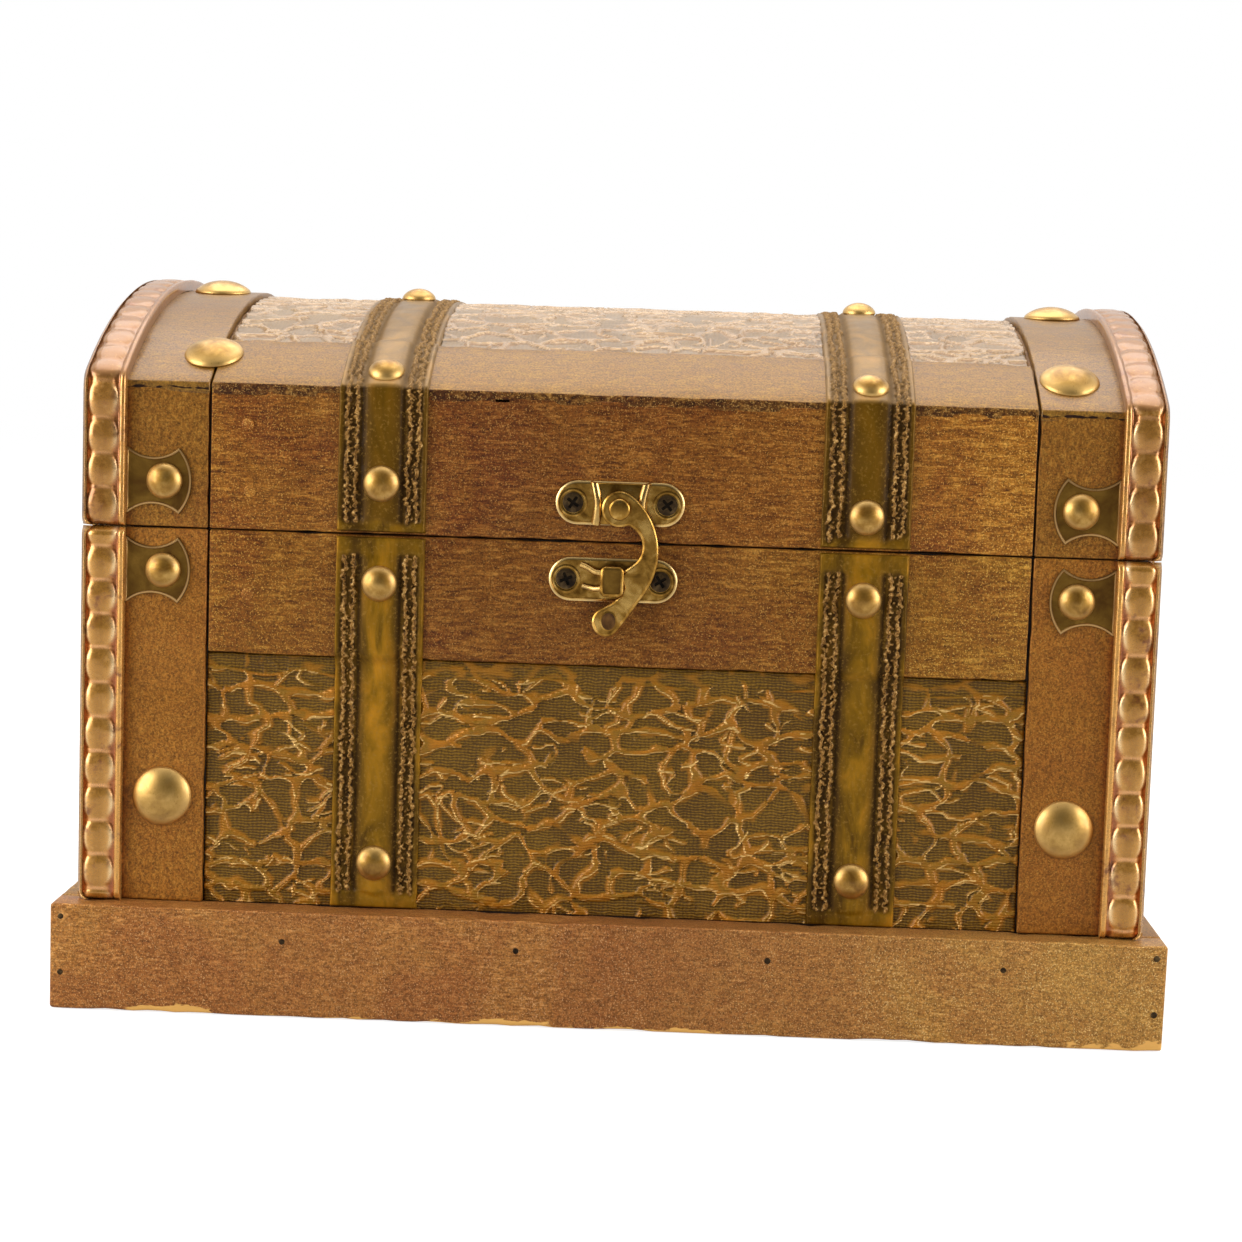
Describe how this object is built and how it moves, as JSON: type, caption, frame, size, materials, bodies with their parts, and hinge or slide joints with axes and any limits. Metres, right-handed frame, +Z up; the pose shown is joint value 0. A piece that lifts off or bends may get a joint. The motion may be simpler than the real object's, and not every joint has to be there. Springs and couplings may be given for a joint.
{
  "type": "treasure chest box",
  "caption": "Small domed treasure chest with hinged lid, swing-hook latch, stitched straps, embossed edge trims and dome nails on a stepped plinth.",
  "frame": {"origin": "centre of the underside of the plinth, the lowest face of the chest", "axes": "+X to the right along the front, +Y from the latch front towards the hinged back, +Z up"},
  "size_m": [0.239, 0.159, 0.1579],
  "materials": {
    "gold_wood": "antique gold paint over fine horizontal grain, satin",
    "carcass_wood": "stained light plywood, satin",
    "textured_vinyl": "crinkled vinyl, bronze weave with raised gold ridges",
    "strap_vinyl": "olive gold vinyl with two rows of stitching each side",
    "gold_trim": "embossed copper gold strip, worn gloss",
    "brass_nail": "polished",
    "dark_brass": "darkened, worn at the edges",
    "antique_brass": "antique, bright at the edges",
    "dark_steel": "blackened"
  },
  "bodies": {
    "chest_body": {"body_back_left_corner_board": "gold_wood", "body_back_left_strap": "strap_vinyl", "body_back_left_trim": "gold_trim", "body_back_rail": "gold_wood", "body_back_right_corner_board": "gold_wood", "body_back_right_strap": "strap_vinyl", "body_back_right_trim": "gold_trim", "body_back_skin": "textured_vinyl", "body_back_wall": "carcass_wood", "body_corner_brackets": "dark_brass", "body_front_left_corner_board": "gold_wood", "body_front_left_strap": "strap_vinyl", "body_front_left_trim": "gold_trim", "body_front_rail": "gold_wood", "body_front_right_corner_board": "gold_wood", "body_front_right_strap": "strap_vinyl", "body_front_right_trim": "gold_trim", "body_front_skin": "textured_vinyl", "body_front_wall": "carcass_wood", "body_large_nails": "brass_nail", "body_left_wall": "carcass_wood", "body_right_wall": "carcass_wood", "body_screws": "dark_steel", "body_side_skins": "textured_vinyl", "body_small_nails": "brass_nail", "bottom_panel": "carcass_wood", "catch_plate": "antique_brass", "hinge_body_leaves": "antique_brass", "hinge_pins": "antique_brass", "plinth_back_board": "gold_wood", "plinth_front_board": "gold_wood", "plinth_left_board": "gold_wood", "plinth_pins": "dark_steel", "plinth_right_board": "gold_wood"},
    "lid": {"hinge_lid_leaves": "antique_brass", "latch_plate": "antique_brass", "latch_rivet": "brass_nail", "lid_back_board": "gold_wood", "lid_back_slope_strip": "gold_wood", "lid_back_wall": "carcass_wood", "lid_corner_boards": "gold_wood", "lid_corner_brackets": "dark_brass", "lid_end_skins": "textured_vinyl", "lid_front_board": "gold_wood", "lid_front_slope_strip": "gold_wood", "lid_front_wall": "carcass_wood", "lid_large_nails": "brass_nail", "lid_left_arch_band": "gold_wood", "lid_left_end": "carcass_wood", "lid_left_strap": "strap_vinyl", "lid_left_trim": "gold_trim", "lid_right_arch_band": "gold_wood", "lid_right_end": "carcass_wood", "lid_right_strap": "strap_vinyl", "lid_right_trim": "gold_trim", "lid_screws": "dark_steel", "lid_small_nails": "brass_nail", "lid_top_panel": "carcass_wood", "lid_top_skin": "textured_vinyl"},
    "latch_hook": {"latch_hook": "antique_brass"}
  },
  "joints": [
    {"name": "lid_hinge", "type": "hinge", "parent": "chest_body", "child": "lid", "pos_m": [0, 0.0753, 0.10415], "axis": [-1, 0, 0], "range_deg": [0, 110]},
    {"name": "hook_swing", "type": "hinge", "parent": "lid", "child": "latch_hook", "pos_m": [0, -0.075, 0.1115], "axis": [0, -1, 0], "range_deg": [0, 110]}
  ]
}
